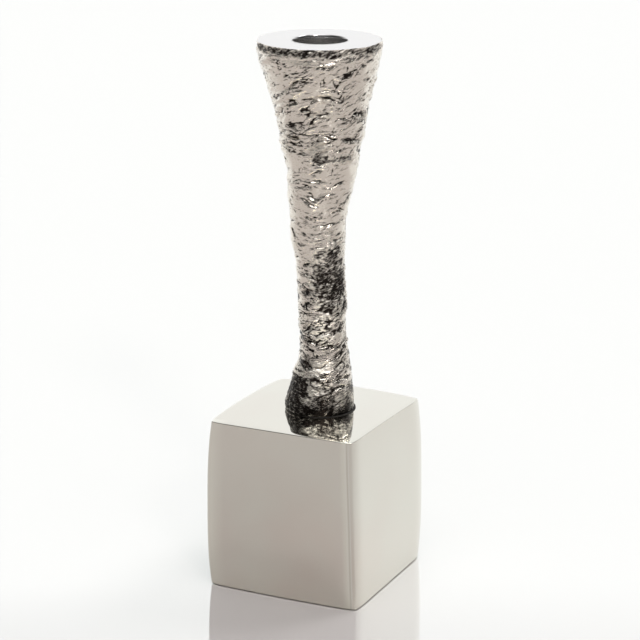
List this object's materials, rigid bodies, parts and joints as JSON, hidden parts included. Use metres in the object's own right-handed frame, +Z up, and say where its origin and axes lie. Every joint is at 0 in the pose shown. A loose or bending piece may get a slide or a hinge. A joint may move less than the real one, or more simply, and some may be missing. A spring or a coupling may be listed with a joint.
{
  "type": "candlestick",
  "caption": "Candlestick: a slender cast stem with bark-like skin, flaring to a drilled taper-candle socket, bolted to a softly crowned hollow cube with a felt base.",
  "frame": {"origin": "on the table under the middle of the cube: the middle of the object's box in X and Y, at the underside of the felt", "axes": "+Z up along the stem; X and Y square to the cube's faces, with -Y the larger face that the reference view sees and +X the one to its right"},
  "size_m": [0.0704, 0.0738, 0.228],
  "materials": {
    "stem_nickel": "rough sand-cast bark texture, nickel plated, bright on the ridges and dark in the folds",
    "cube_nickel": "mirror polished and nickel plated, faces hand ground to a soft crown",
    "zinc_steel": "bright zinc plated steel",
    "gasket_fibre": "thin black vulcanised fibre",
    "base_felt": "black pressed wool felt"
  },
  "bodies": {
    "root": {"stem": "stem_nickel", "foot_gasket": "gasket_fibre", "cube_shell": "cube_nickel", "tie_stud": "zinc_steel", "plain_washer": "zinc_steel", "spring_washer": "zinc_steel", "hex_nut": "zinc_steel", "bottom_plate": "zinc_steel", "plate_screw_1": "zinc_steel", "plate_screw_2": "zinc_steel", "plate_screw_3": "zinc_steel", "plate_screw_4": "zinc_steel", "felt_pad": "base_felt"}
  },
  "joints": []
}
